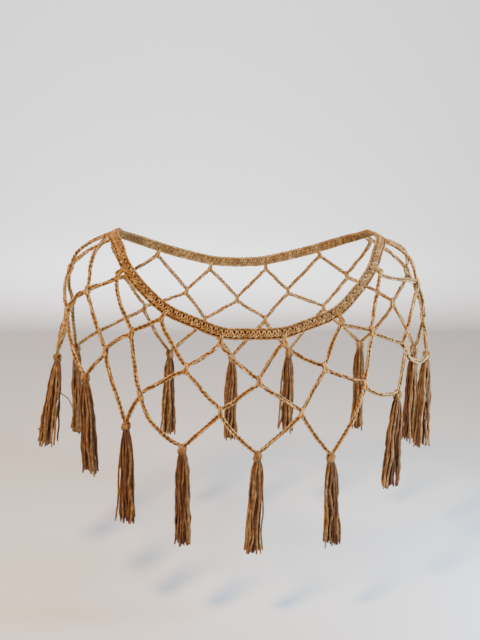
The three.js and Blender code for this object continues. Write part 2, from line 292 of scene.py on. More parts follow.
# Stage
FLOOR_HEIGHT = -0.42
FLOOR_FLAT = 2.2
FLOOR_RADIUS = 4.0
FLOOR_WALL = 3.0
FLOOR_CURVE_STEPS = 12
FLOOR_SIDES = 96
FLOOR_COLOUR = (0.80, 0.80, 0.82, 1.0)
FLOOR_ROUGHNESS = 0.9
ROOM_COLOUR = (0.88, 0.88, 0.90, 1.0)
ROOM_STRENGTH = 0.2

# Lights, which are discs: where each stands and aims, how wide it is, its power in watts and its colour
COLLAR_MIDDLE = (0.0, 0.0, -0.12)
BEHIND_COLLAR = (0.0, 4.0, 0.5)
Lamp = namedtuple("Lamp", "name place aim size power colour")
LAMPS = [
    Lamp("warm_key", (-0.55, -0.65, 1.0), COLLAR_MIDDLE, 0.25, 33, (1.0, 0.62, 0.30)),
    Lamp("cool_side", (0.55, -0.2, -0.05), COLLAR_MIDDLE, 0.15, 8, (0.58, 0.80, 1.0)),
    Lamp("backdrop", (0.0, 1.2, 0.9), BEHIND_COLLAR, 1.5, 110, (1.0, 0.98, 0.96)),
    Lamp("soft_top", (0.0, 0.4, 2.0), COLLAR_MIDDLE, 1.0, 16, (0.80, 0.92, 1.0)),
]

# Shape of the shoulders that the collar keeps: half width, front depth and back depth at each height
Level = namedtuple("Level", "height half front back")
SHOULDERS = [
    Level(-340, 222, 128, 88),
    Level(-260, 222, 140, 92),
    Level(-200, 221, 140, 98),
    Level(-140, 219, 128, 103),
    Level(-80, 212, 108, 102),
    Level(-45, 206, 98, 98),
    Level(-22, 197, 92, 94),
    Level(-10, 184, 88, 91),
    Level(0, 164, 84, 88),
    Level(12, 136, 76, 84),
]

# Their levels grow squarer down to a depth below the tops: the power of the ellipse, and what it gains
SQUARE_BELOW = 80
ROUND_POWER = 2
SQUARE_POWER = 0.4

# One row per repeat, from the front centre round by the wearer's left: the bearings of the band stitch
# and of the low points of the loops of each round, their heights, and the tassel's length, lean and spread
Repeat = namedtuple("Repeat", "band one one_z two two_z three three_z tassel lean spread")
REPEATS = [
    Repeat(17, 2.7, -129, 22, -163, 2.1, -208, 117, -3, 1),
    Repeat(44, 33.7, -117, 47.7, -138, 32.7, -213, 108, 7, 0.9),
    Repeat(64, 55, -83, 65.2, -104, 59.3, -155, 113, -2, 1.8),
    Repeat(85, 79.7, -42, 87, -89, 82, -131, 116, 1, 1.5),
    Repeat(108, 98, -43, 106, -90, 97, -142, 123, 1, 1.3),
    Repeat(131, 121, -62, 130, -107, 116.5, -152, 117, 2, 1),
    Repeat(161, 147, -87, 160, -126, 145, -169, 112, 1, 1.1),
    Repeat(199, 180, -98, 202, -126, 183, -177, 116, 0, 1),
    Repeat(229, 213, -87, 232, -107, 222, -169, 113, -2, 1.1),
    Repeat(251, 240, -62, 259, -84, 256, -146, 113, -2, 1),
    Repeat(270, 266, -38, 281, -75, 273, -138, 110, -16, 1.9),
    Repeat(296.5, 287.3, -46, 299.4, -106, 294.8, -138, 113, 4, 2),
    Repeat(316, 306, -84, 313.7, -148, 310.8, -181, 117, 0, 1.2),
    Repeat(343, 328.5, -117, 345.1, -161, 330.9, -201, 116, 1, 1.1),
]
COUNT = len(REPEATS)

# Legs that aren't taut: round, row of the low point, its side, and how far the leg's middle drops and turns
Slack = namedtuple("Slack", "round row side drop sway")
SLACK = [
    Slack("one", 0, "before", 0, -1.5),
    Slack("one", 0, "after", -7, 1),
    Slack("one", 1, "before", -3, -5),
    Slack("one", 1, "after", -5, 1),
    Slack("one", 2, "before", -1, -4.5),
    Slack("one", 2, "after", -2, 0),
    Slack("one", 3, "before", -2, -5.5),
    Slack("one", 3, "after", -10, 1),
    Slack("one", 4, "before", -14, 0),
    Slack("one", 10, "after", -16, 0),
    Slack("one", 11, "before", -13, 2.5),
    Slack("one", 11, "after", -3, 3.5),
    Slack("one", 12, "before", -5, -2.5),
    Slack("one", 12, "after", -2, 1),
    Slack("one", 13, "before", -7, -3),
    Slack("one", 13, "after", 0, 1),
    Slack("two", 0, "after", -2, 0),
    Slack("two", 1, "after", -3, 0),
    Slack("two", 2, "after", -5, 0),
    Slack("two", 9, "after", 3, 0),
    Slack("two", 10, "after", -7, 0),
    Slack("two", 11, "after", -4, 0),
    Slack("two", 12, "after", -4, 0.5),
    Slack("three", 0, "before", -3, -3),
    Slack("three", 1, "before", 2, 0),
    Slack("three", 1, "after", 5, 0),
    Slack("three", 2, "before", 4, -1),
    Slack("three", 3, "before", 7, -5),
    Slack("three", 3, "after", 2, 0),
    Slack("three", 5, "before", 4, 0),
    Slack("three", 8, "after", 5, 0),
    Slack("three", 10, "after", 0, 3.5),
    Slack("three", 11, "before", 6, 0),
    Slack("three", 12, "after", -8, 0),
    Slack("three", 13, "before", 5, -2),
]

# Height of the middle of the band at each bearing from the front, on the wearer's left and right
BandPoint = namedtuple("BandPoint", "bearing left right")
BAND_LINE = [
    BandPoint(0, -83.4, -83.4),
    BandPoint(17, -82, -82),
    BandPoint(30, -74.2, -72.9),
    BandPoint(44, -62, -60),
    BandPoint(55, -39.8, -39.6),
    BandPoint(64, -17.5, -18),
    BandPoint(70, -6.2, -5.8),
    BandPoint(77, -0.2, 1.2),
    BandPoint(85, 3.2, 4.3),
    BandPoint(95, 4.2, 5),
    BandPoint(103, -0.2, 0),
    BandPoint(115, -12, -12),
    BandPoint(135, -33, -33),
    BandPoint(160, -48, -48),
    BandPoint(180, -51, -51),
]

# Way of the yarn through one stitch, as shares of a stitch along the work, and millimetres across and out
Bend = namedtuple("Bend", "along across out")
CHAIN_STITCH = [
    Bend(-0.04, -0.50, -0.95),
    Bend(0.16, -0.70, 0.30),
    Bend(0.45, -1.25, 1.10),
    Bend(0.80, -1.75, 0.75),
    Bend(1.10, -1.20, 0.05),
    Bend(1.24, 0.0, -0.25),
    Bend(1.10, 1.20, 0.05),
    Bend(0.80, 1.75, 0.75),
    Bend(0.45, 1.25, 1.10),
    Bend(0.16, 0.70, 0.30),
    Bend(0.04, 0.45, -0.95),
    Bend(0.50, 0.05, -1.40),
]

# Outer edge of the band: a chain with slanted upper leaves and a slit below each
EDGE_STITCH = [
    Bend(0.05, -0.80, -0.80),
    Bend(0.20, -1.10, 0.30),
    Bend(0.50, -1.55, 0.90),
    Bend(0.85, -1.60, 0.70),
    Bend(1.12, -1.00, 0.0),
    Bend(1.26, 0.35, -0.20),
    Bend(1.12, 1.50, 0.20),
    Bend(0.85, 1.80, 1.00),
    Bend(0.50, 1.10, 1.25),
    Bend(0.20, 0.35, 0.55),
    Bend(0.05, 0.10, -0.90),
    Bend(0.50, 0.0, -1.30),
]

# One leg of a body stitch round the band's core, which starts together with its twin and opens away from it
INNER_LEG = [
    Bend(0.13, 4.3, 0.0),
    Bend(0.15, 3.3, 1.15),
    Bend(0.18, 1.9, 1.4),
    Bend(0.30, 0.4, 1.1),
    Bend(0.31, -1.1, 0.0),
    Bend(0.30, 0.4, -1.1),
    Bend(0.18, 1.9, -1.4),
    Bend(0.15, 3.3, -1.15),
]
OUTER_LEG = [
    Bend(0.12, -0.2, 0.1),
    Bend(0.16, -0.9, 1.15),
    Bend(0.23, -1.9, 1.3),
    Bend(0.28, -2.8, 0.9),
    Bend(0.29, -3.5, 0.0),
    Bend(0.28, -2.8, -0.9),
    Bend(0.23, -1.9, -1.3),
    Bend(0.16, -0.9, -1.15),
]

# How the legs stand: every second stitch is drawn to its neighbour, rows lean, and the outer row is shifted
PAIRING = -0.08
INNER_LEAN = 0.10
OUTER_LEAN = 0.16
OUTER_SHIFT = 0.22
LEG_WOBBLE = Bend(0.02, 0.1, 0.08)

# Loops between the two rows of legs, and the strands that fill the band behind the stitches, whose fronts
# are painted dark as shade in the holes
ROW_LOOP = [
    Bend(0.0, -1.0, -0.3),
    Bend(0.3, -0.75, 0.7),
    Bend(0.5, -0.45, 1.0),
    Bend(0.75, -0.70, 0.7),
]
BAND_CORES = [
    Bend(0, 3.3, -0.8),
    Bend(0, 1.4, -0.7),
    Bend(0, -0.5, -0.7),
    Bend(0, -2.4, -0.6),
    Bend(0, -4.4, -0.6),
]


def add_object(name, data):
    """A new object in the scene."""
    added = bpy.data.objects.new(name, data)
    bpy.context.scene.collection.objects.link(added)
    return added


# Camera
def make_camera():
    azimuth = math.radians(CAMERA_AZIMUTH)
    pitch = math.radians(CAMERA_PITCH)
    roll = math.radians(CAMERA_ROLL)
    flat = math.cos(pitch)
    ahead = Vector((-math.sin(azimuth) * flat, math.cos(azimuth) * flat, -math.sin(pitch)))
    level = Vector((math.cos(azimuth), math.sin(azimuth), 0))
    upright = level.cross(ahead)
    right = level * math.cos(roll) + upright * math.sin(roll)
    up = upright * math.cos(roll) - level * math.sin(roll)
    aside = (ORIGIN_PIXEL_X - IMAGE_WIDTH / 2) / FOCAL_PIXELS * CAMERA_DISTANCE
    above = (IMAGE_HEIGHT / 2 - ORIGIN_PIXEL_Y) / FOCAL_PIXELS * CAMERA_DISTANCE
    place = -(right * aside + up * above + ahead * CAMERA_DISTANCE)
    data = bpy.data.cameras.new("camera")
    data.sensor_fit = "VERTICAL"
    data.sensor_height = SENSOR_HEIGHT
    data.lens = SENSOR_HEIGHT * FOCAL_PIXELS / IMAGE_HEIGHT
    camera = add_object("camera", data)
    camera.matrix_world = Matrix.Translation(place) @ Matrix((right, up, -ahead)).transposed().to_4x4()
    bpy.context.scene.camera = camera


# Shoulders
def column(rows, key, places, name):
    """Values of one column at places along a table, on a smooth cubic curve through its rows."""
    keys = np.array([getattr(row, key) for row in rows], float)
    values = np.array([getattr(row, name) for row in rows], float)
    before = np.maximum(np.arange(len(rows)) - 1, 0)
    after = np.minimum(np.arange(len(rows)) + 1, len(rows) - 1)
    slopes = (values[after] - values[before]) / (keys[after] - keys[before])
    row = np.clip(np.searchsorted(keys, places, side="left") - 1, 0, len(rows) - 2)
    width = keys[row + 1] - keys[row]
    share = (places - keys[row]) / width
    slope_in = slopes[row] * width
    slope_out = slopes[row + 1] * width
    rise = values[row + 1] - values[row]
    bend = 3 * rise - 2 * slope_in - slope_out
    twist = slope_in + slope_out - 2 * rise
    return values[row] + share * (slope_in + share * (bend + share * twist))


def on_shoulders(bearing, height):
    """Points of the shoulders at bearings and heights, on a squared ellipse across each level."""
    bearing, height = np.broadcast_arrays(np.asarray(bearing, float), np.asarray(height, float))
    side = np.sin(np.radians(bearing))
    ahead = np.cos(np.radians(bearing))
    half = column(SHOULDERS, "height", height, "half")
    front = column(SHOULDERS, "height", height, "front")
    back = column(SHOULDERS, "height", height, "back")
    depth = np.where(ahead > 0, front, back)
    power = ROUND_POWER + SQUARE_POWER * np.clip(-height / SQUARE_BELOW, 0, 1)
    total = (np.abs(side) / half) ** power + (np.abs(ahead) / depth) ** power
    reach = total ** (-1 / power)
    return np.stack([reach * side, -reach * ahead, height], -1)


def unit(vectors):
    return vectors / np.linalg.norm(vectors, axis=-1, keepdims=True)


def outward(bearing, height):
    """Directions straight out from the shoulders."""
    step = 1
    around = on_shoulders(bearing + step, height) - on_shoulders(bearing - step, height)
    down = on_shoulders(bearing, height - step) - on_shoulders(bearing, height + step)
    return unit(np.cross(down, around))


def band_height(bearing):
    turned = np.mod(bearing, 360)
    left = column(BAND_LINE, "bearing", turned, "left")
    right = column(BAND_LINE, "bearing", 360 - turned, "right")
    return np.where(turned <= 180, left, right)


# Ways that the stitches follow
class Way:
    """A closed way on the shoulders, with the directions along, across and out at any distance round it."""

    def __init__(self, points, outs, rounding):
        closed = np.vstack([points, points[:1]])
        lengths = np.concatenate([[0], np.cumsum(np.linalg.norm(np.diff(closed, axis=0), axis=1))])
        steps = int(lengths[-1] / WAY_STEP)
        places = np.arange(steps) * lengths[-1] / steps
        closed_outs = np.vstack([outs, outs[:1]])
        self.points = self._soften(self._sample(places, lengths, closed), rounding)
        normals = self._soften(self._sample(places, lengths, closed_outs), rounding)
        ring = np.vstack([self.points, self.points[:1]])
        self.distances = np.concatenate([[0], np.cumsum(np.linalg.norm(np.diff(ring, axis=0), axis=1))])
        self.length = self.distances[-1]
        along = unit(np.roll(self.points, -1, 0) - np.roll(self.points, 1, 0))
        across = unit(np.cross(normals, along))
        self.table = np.hstack([self.points, along, across, np.cross(along, across)])
        self.table = np.vstack([self.table, self.table[:1]])

    @staticmethod
    def _sample(places, distances, table):
        return np.stack([np.interp(places, distances, values) for values in table.T], -1)

    @staticmethod
    def _soften(table, rounding):
        reach = max(int(rounding / WAY_STEP), 1)
        window = np.hanning(2 * reach + 3)[1:-1]
        window /= window.sum()
        padded = np.vstack([table[-reach:], table, table[:reach]])
        return np.stack([np.convolve(values, window, "valid") for values in padded.T], -1)

    def place(self, distance, across, out):
        """Points at distances round the way, moved across it and out from it."""
        found = self._sample(np.mod(distance, self.length), self.distances, self.table)
        return found[:, 0:3] + found[:, 6:9] * across[:, None] + found[:, 9:12] * out[:, None]


def band_way():
    bearing = np.arange(0, 360, BEARING_STEP)
    height = band_height(bearing)
    return Way(on_shoulders(bearing, height), outward(bearing, height), CORNER_ROUNDING)


Spot = namedtuple("Spot", "bearing height")


def near(bearing, neighbour):
    return bearing + 360 * round((neighbour - bearing) / 360)


def below(stitch, before, after, drop):
    """Place below a stitch, towards the middle of the two low points that its chains run to."""
    aim_bearing = (near(before.bearing, stitch.bearing) + near(after.bearing, stitch.bearing)) / 2
    aim_height = (before.height + after.height) / 2
    start = on_shoulders(stitch.bearing, stitch.height)
    share = drop / np.linalg.norm(on_shoulders(aim_bearing, aim_height) - start)
    bearing = stitch.bearing + share * (aim_bearing - stitch.bearing)
    return Spot(bearing, stitch.height + share * (aim_height - stitch.height))


def beside_band(bearing, distance):
    """Place at a distance below the middle of the band, square to it."""
    step = 1
    height = float(band_height(bearing))
    ahead = on_shoulders(bearing + step, band_height(bearing + step))
    behind = on_shoulders(bearing - step, band_height(bearing - step))
    down = unit(np.cross(ahead - behind, outward(bearing, height)))
    place = on_shoulders(bearing, height) + down * distance
    return Spot(near(math.degrees(math.atan2(place[0], -place[1])), bearing), float(place[2]))


class Round:
    """One round of the net: the tops of its posts, the peaks at their feet and its loops' low points."""

    def __init__(self, name, lows, rows, tops, peaks):
        self.name = name
        self.lows = lows
        self.rows = rows
        self.tops = tops
        self.peaks = peaks
        self.way = self._way()

    def pinch(self, distance):
        """Width of the chain, as a share, which is less where its low points are gripped."""
        centre = self.way.place(distance, np.zeros_like(distance), np.zeros_like(distance))
        lows = np.array([on_shoulders(low.bearing, low.height) for low in self.lows])
        gaps = np.linalg.norm(centre[:, None] - lows[None], axis=2).min(axis=1)
        return 1 - PINCH * np.exp(-((gaps / PINCH_REACH) ** 2))

    def _slack(self, row, side):
        found = [leg for leg in SLACK if (leg.round, leg.row, leg.side) == (self.name, row, side)]
        return found[0] if found else Slack(self.name, row, side, 0, 0)

    def _way(self):
        bearings = []
        heights = []
        share = np.linspace(0, 1, LEG_STEPS, endpoint=False)
        bow = 4 * share * (1 - share)
        for k in range(COUNT):
            after = (k + 1) % COUNT
            rising = (self.lows[k], self.peaks[k], self._slack(self.rows[k], "after"))
            falling = (self.peaks[k], self.lows[after], self._slack(self.rows[after], "before"))
            for start, end, slack in (rising, falling):
                turn = near(end.bearing, start.bearing) - start.bearing
                bearings.append(start.bearing + share * turn + bow * slack.sway)
                heights.append(start.height + share * (end.height - start.height) - bow * slack.drop)
        bearing = np.concatenate(bearings)
        height = np.concatenate(heights)
        return Way(on_shoulders(bearing, height), outward(bearing, height), CORNER_ROUNDING)


def hung(stitches, lows, drop):
    return [below(stitch, lows[k], lows[(k + 1) % COUNT], drop) for k, stitch in enumerate(stitches)]


def make_rounds():
    rows = list(range(COUNT))
    shifted = [(k - 1) % COUNT for k in rows]
    lows_one = [Spot(row.one, row.one_z) for row in REPEATS]
    lows_two = [Spot(row.two, row.two_z) for row in REPEATS]
    lows_three = [Spot(row.three, row.three_z) for row in REPEATS]
    turned_two = [lows_two[k] for k in shifted]
    edge = BAND_WIDTH / 2 - POST_BITE
    below_cord = CORD_RADIUS - POST_BITE
    tops_one = [beside_band(row.band, edge) for row in REPEATS]
    peaks_one = [beside_band(row.band, edge + BAND_POST_LENGTH) for row in REPEATS]
    tops_two = hung(lows_one, turned_two, below_cord)
    peaks_two = hung(lows_one, turned_two, below_cord + NET_POST_LENGTH)
    tops_three = hung(lows_two, lows_three, below_cord)
    peaks_three = hung(lows_two, lows_three, below_cord + NET_POST_LENGTH)
    return [
        Round("one", lows_one, rows, tops_one, peaks_one),
        Round("two", turned_two, shifted, tops_two, peaks_two),
        Round("three", lows_three, rows, tops_three, peaks_three),
    ]


# Yarn: centre lines of yarn become tubes that know the distance along and the share round the yarn
def curve_through(controls, steps, closed):
    """Smooth lines through control points, for an array of lines by points by coordinates."""
    if closed:
        padded = np.concatenate([controls[:, -1:], controls, controls[:, :2]], 1)
    else:
        first = 2 * controls[:, :1] - controls[:, 1:2]
        last = 2 * controls[:, -1:] - controls[:, -2:-1]
        padded = np.concatenate([first, controls, last], 1)
    share = (np.arange(steps) / steps)[None, None, :, None]
    before, here, after, beyond = (padded[:, k : padded.shape[1] - 3 + k, None] for k in range(4))
    bend = 2 * before - 5 * here + 4 * after - beyond
    twist = 3 * here - before - 3 * after + beyond
    points = 0.5 * (2 * here + share * (after - before + share * (bend + share * twist)))
    points = points.reshape(len(controls), -1, controls.shape[-1])
    return points if closed else np.concatenate([points, controls[:, -1:]], 1)


class Yarn:
    """Gathers tubes of yarn and makes them one mesh."""

    def __init__(self):
        self.points = []
        self.faces = []
        self.uvs = []
        self.open = []
        self.count = 0

    def add(self, lines, radius, cores, reach, sides=YARN_SIDES, closed=False):
        """Adds tubes along lines, an array of lines by points by coordinates, with open ends capped.

        The cores are the points that the yarn lies round, and reach is how far from them it lies open: yarn
        near its cores gets painted shade, darker the nearer it lies."""
        lines = np.asarray(lines, float)
        total, steps, _ = lines.shape
        radius = np.broadcast_to(radius, (total, steps))
        if closed:
            ahead = unit(np.roll(lines, -1, 1) - np.roll(lines, 1, 1))
        else:
            ahead = unit(np.gradient(lines, axis=1))
        normals = np.empty_like(lines)
        start = np.cross(ahead[:, 0], UP)
        upright = np.linalg.norm(start, axis=1) < LEAST_SIDESTEP
        start[upright] = np.cross(ahead[upright, 0], BACK)
        normals[:, 0] = unit(start)
        for step in range(1, steps):
            last = normals[:, step - 1]
            ahead_here = ahead[:, step]
            normals[:, step] = last - ahead_here * np.sum(last * ahead_here, axis=1, keepdims=True)
            normals[:, step] /= np.linalg.norm(normals[:, step], axis=1, keepdims=True)
        sidesteps = np.cross(ahead, normals)
        turned = np.zeros((total, steps))
        if closed:
            first, second, last = normals[:, 0], sidesteps[:, 0], normals[:, -1]
            miss = np.arctan2(np.sum(last * second, 1), np.sum(last * first, 1))
            turned = -miss[:, None] * np.arange(steps)[None] / steps
        angle = np.arange(sides) / sides * TURN + turned[:, :, None]
        turned_normals = np.cos(angle)[..., None] * normals[:, :, None]
        turned_sidesteps = np.sin(angle)[..., None] * sidesteps[:, :, None]
        points = lines[:, :, None] + radius[:, :, None, None] * (turned_normals + turned_sidesteps)
        # Painted shade: how open each point lies, from its distance to the cores
        away = np.linalg.norm(points - np.asarray(cores)[:, :, None], axis=-1)
        self.open.append(np.clip(away / reach, 0, 1).ravel())
        self.points.append(points.reshape(-1, 3))
        self._add_faces(lines, total, steps, sides, closed)
        self.count += total * steps * sides

    def _add_faces(self, lines, total, steps, sides, closed):
        spans = steps if closed else steps - 1
        line = np.arange(total)[:, None, None] * steps * sides
        here = np.arange(spans)[None, :, None]
        there = (here + 1) % steps
        side = np.arange(sides)[None, None]
        after = (side + 1) % sides
        corners = [here * sides + side, here * sides + after, there * sides + after, there * sides + side]
        quads = np.stack([np.broadcast_to(line + corner, (total, spans, sides)) for corner in corners], -1)
        self.faces.extend((quads.reshape(-1, 4) + self.count).tolist())
        ends = np.roll(lines, -1, 1) if closed else lines
        lengths = np.linalg.norm(np.diff(ends, axis=1), axis=2)
        travel = np.concatenate([np.zeros((total, 1)), np.cumsum(lengths, axis=1)], 1)
        if closed:
            travel = np.concatenate([travel, travel[:, -1:] + lengths[:, -1:]], 1)
        low = np.broadcast_to(travel[:, :spans, None], (total, spans, sides))
        high = np.broadcast_to(travel[:, 1 : spans + 1, None], (total, spans, sides))
        left = np.broadcast_to(side / sides, (total, spans, sides))
        right = np.broadcast_to((side + 1) / sides, (total, spans, sides))
        uvs = np.stack([low, left, low, right, high, right, high, left], -1)
        self.uvs.append(uvs.reshape(-1, 2) * [MM, 1])
        if not closed:
            row = np.arange(sides)
            starts = line[:, 0] + row[::-1] + self.count
            stops = line[:, 0] + (steps - 1) * sides + row + self.count
            self.faces.extend(np.vstack([starts, stops]).tolist())
            tips = np.repeat(np.stack([travel[:, [0]], travel[:, [-1]]]).reshape(-1, 1), sides, 1)
            middle = np.full_like(tips, 0.5)
            self.uvs.append(np.stack([tips, middle], -1).reshape(-1, 2) * [MM, 1])

    def make(self, name, material, nodes):
        """The gathered yarn as one piece, which stands for CAD nodes."""
        mesh = bpy.data.meshes.new(name)
        mesh.from_pydata((np.vstack(self.points) * MM).tolist(), [], self.faces)
        mesh.uv_layers.new(name=UV_NAME).data.foreach_set("uv", np.vstack(self.uvs).ravel())
        painted_shade_mask = mesh.attributes.new(SHADE_MASK_NAME, "FLOAT", "POINT")
        painted_shade_mask.data.foreach_set("value", np.concatenate(self.open))
        mesh.polygons.foreach_set("use_smooth", np.ones(len(mesh.polygons), bool))
        mesh.materials.append(material)
        piece = add_object(name, mesh)
        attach(piece, "root")
        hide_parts(*nodes)


# Stitches
def stitched(way, pitch, stitch, offset, wobble, roll, rng, scale=(1.0, 1.0)):
    """Centre line of yarn worked in equal stitches round a way, as distance, across and out."""
    count = round(way.length / pitch)
    bends = np.array(stitch)
    number = np.arange(count)[:, None]
    along = (number + bends[:, 0]) + rng.normal(0, wobble / pitch, (count, len(bends)))
    across = bends[:, 1] * scale[0] + rng.normal(0, wobble, (count, len(bends)))
    out = bends[:, 2] * scale[1] + rng.normal(0, wobble, (count, len(bends)))
    controls = np.stack([along, across, out], -1).reshape(1, -1, 3)
    line = curve_through(controls, STITCH_STEPS, False)[0]
    distance = line[:, 0] * way.length / count
    tilt = roll(distance)
    turned_across = line[:, 1] * np.cos(tilt) - line[:, 2] * np.sin(tilt) + offset
    turned_out = line[:, 1] * np.sin(tilt) + line[:, 2] * np.cos(tilt)
    return distance, turned_across, turned_out


def fixed_roll(tilt):
    return lambda distance: np.full_like(distance, tilt)


def wandering_roll(way, rng):
    """Roll of a chain round its own way, which wanders in slow waves."""
    turns = rng.integers(*ROLL_TURNS, ROLL_WAVES)
    starts = rng.uniform(0, TURN, ROLL_WAVES)
    share = rng.uniform(*ROLL_SHARE, ROLL_WAVES)
    share *= ROLL_REACH / share.sum() * ROLL_GAIN

    def roll(distance):
        angles = distance[:, None] / way.length * TURN * turns + starts
        return np.sum(share * np.sin(angles), axis=1)

    return roll


def add_band_line(yarn, way, distance, across, out, sides=BAND_YARN_SIDES):
    """Adds a line of yarn that runs along the band."""
    # Painted shade: the yarn darkens towards the band's middle
    core = way.place(distance, np.clip(across, -BAND_SHADE_CORE_HALF, BAND_SHADE_CORE_HALF), np.zeros_like(out))
    line = way.place(distance, across, out)
    yarn.add(line[None], BAND_YARN_RADIUS, core[None], BAND_SHADE_REACH, sides)


def add_band_legs(yarn, way, leg, shift, lean, rng):
    """Adds a row of stitches across the band, each of two legs that start together and open."""
    count = round(way.length / BAND_PITCH)
    bends = np.array(leg)
    number = np.arange(count)[:, None]
    slant = lean * (bends[0, 1] - bends[:, 1]) / np.ptp(bends[:, 1])
    for hand in (-1, 1):
        along = number + shift + hand * bends[:, 0] + slant + rng.normal(0, LEG_WOBBLE.along, (count, 1))
        along += PAIRING * (number % 2)
        across = bends[:, 1] + rng.normal(0, LEG_WOBBLE.across, along.shape)
        out = bends[:, 2] + rng.normal(0, LEG_WOBBLE.out, along.shape)
        rings = curve_through(np.stack([along, across, out], -1), STITCH_STEPS, True)
        distance, across, out = rings.reshape(-1, 3).T
        distance = distance * way.length / count
        lines = way.place(distance, across, out).reshape(rings.shape)
        # Painted shade: the legs darken towards the band's middle
        inside = np.clip(across, -BAND_SHADE_CORE_HALF, BAND_SHADE_CORE_HALF)
        cores = way.place(distance, inside, np.zeros_like(out)).reshape(rings.shape)
        yarn.add(lines, LEG_YARN_RADIUS, cores, BAND_SHADE_REACH, BAND_YARN_SIDES, closed=True)


def make_band(way, material):
    rng = np.random.default_rng(BAND_SEED)
    yarn = Yarn()
    tilt = fixed_roll(RIM_TILT)
    rim = stitched(way, BAND_PITCH, CHAIN_STITCH, RIM_ACROSS, STITCH_WOBBLE, tilt, rng, RIM_SCALE)
    add_band_line(yarn, way, *rim)
    edge = stitched(way, BAND_PITCH, EDGE_STITCH, EDGE_ACROSS, STITCH_WOBBLE, fixed_roll(EDGE_TILT), rng)
    add_band_line(yarn, way, *edge)
    loops = stitched(way, BAND_PITCH, ROW_LOOP, 0, STITCH_WOBBLE, fixed_roll(0.0), rng)
    add_band_line(yarn, way, *loops, INNER_SIDES)
    distance = np.linspace(0, way.length, round(way.length / BAND_PITCH))
    for core in BAND_CORES:
        across = np.full_like(distance, core.across)
        line = way.place(distance, across, np.full_like(distance, core.out))
        # Painted shade: the shade centre lies in front of each filling strand, so its front is painted dark
        shade_centre = way.place(distance, across, np.full_like(distance, core.out + CORE_SHADE_OUT))
        yarn.add(line[None], BAND_YARN_RADIUS, shade_centre[None], BAND_SHADE_REACH, INNER_SIDES)
    add_band_legs(yarn, way, INNER_LEG, 0, INNER_LEAN, rng)
    add_band_legs(yarn, way, OUTER_LEG, OUTER_SHIFT, OUTER_LEAN, rng)
    yarn.make("neck_band_stitches", material, ["neck_band"])


def post_strand(length, head, foot, lean, wrap_reach, wrap_depth):
    """One strand of a post: over what it hangs from, down its front, round its foot and up its back."""

    def face(facing):
        return [
            (-wrap_reach * WRAP_SHOULDER, head, facing * wrap_depth),
            (WRAP_END, head, facing * wrap_depth),
            (length * WAIST, head + facing * lean, facing * WAIST_DEPTH),
            (length - FOOT_ABOVE, foot, facing * FOOT_DEPTH),
            (length + TURN_BELOW, foot * TURN_WIDTH, facing * TURN_DEPTH),
        ]

    crown = (-wrap_reach, head * CROWN_WIDTH, 0.0)
    toe = (length + TOE_BELOW, foot * TOE_WIDTH, 0.0)
    return [crown, *face(1), toe, *reversed(face(-1))]


def add_post(yarn, top, peak, wrap, rng):
    """Adds two strands that wrap what the post hangs from and turn round its foot, and a core strand down
    its middle.
    """
    start = on_shoulders(top.bearing, top.height)
    end = on_shoulders(peak.bearing, peak.height)
    out = outward(top.bearing, top.height)
    down = unit(end - start)
    side = np.cross(out, down)
    length = np.linalg.norm(end - start)
    strands = []
    for hand in (-1, 1):
        head = hand * rng.uniform(*POST_HEAD)
        foot = hand * rng.uniform(*POST_FOOT)
        lean = rng.normal(0, POST_LEAN)
        strands.append(post_strand(length, head, foot, lean, *wrap))
    rings = curve_through(np.array(strands), POST_STEPS, True)
    cores = start + rings[..., :1] * down
    lines = cores + rings[..., 1:2] * side + rings[..., 2:] * out
    # Painted shade: the post's strands darken towards its middle
    yarn.add(lines, YARN_RADIUS, cores, CHAIN_SHADE_REACH, closed=True)
    # Painted shade: a core strand down the post's middle, painted partly dark
    depths = np.linspace(-POST_CORE_PAST, length + POST_CORE_PAST, POST_CORE_STEPS)
    inside = start + depths[None, :, None] * down
    yarn.add(inside, POST_CORE_RADIUS, inside, CHAIN_SHADE_REACH)


def make_round(number, net, wrap, material):
    rng = np.random.default_rng(CHAIN_SEED + number)
    yarn = Yarn()
    roll = wandering_roll(net.way, rng)
    distance, across, out = stitched(net.way, CHAIN_PITCH, CHAIN_STITCH, 0, CHAIN_WOBBLE, roll, rng)
    pinch = net.pinch(distance)
    # Painted shade: the chain's yarn darkens towards its middle
    core = net.way.place(distance, np.zeros_like(across), np.zeros_like(out))
    line = net.way.place(distance, across * pinch, out * pinch)
    yarn.add(line[None], YARN_RADIUS, core[None], CHAIN_SHADE_REACH)
    # Painted shade: a core strand inside the chain, painted partly dark
    steps = CORE_STEPS_PER_STITCH * round(net.way.length / CHAIN_PITCH)
    inner = np.linspace(0, net.way.length, steps)
    inside = net.way.place(inner, np.zeros_like(inner), np.full_like(inner, CHAIN_CORE_OUT))[None]
    yarn.add(inside, CHAIN_CORE_RADIUS, inside, CHAIN_CORE_SHADE_REACH, CHAIN_CORE_SIDES)
    for top, peak in zip(net.tops, net.peaks):
        add_post(yarn, top, peak, wrap, rng)
    yarn.make(f"net_round_{number}_chain", material, [f"net_round_{number}"])


# Tassels
def packed(strands, radius):
    """Strand centres of one level, pushed apart until they lie side by side."""
    placed = strands.copy()
    for _ in range(PACK_TURNS):
        gaps = placed[:, None] - placed[None]
        distances = np.linalg.norm(gaps, axis=2) + np.eye(len(placed)) * OWN_GAP
        close = np.clip(2 * radius - distances, 0, None)
        placed += PACK_PUSH * np.sum(gaps / distances[..., None] * close[..., None], axis=1)
    return placed


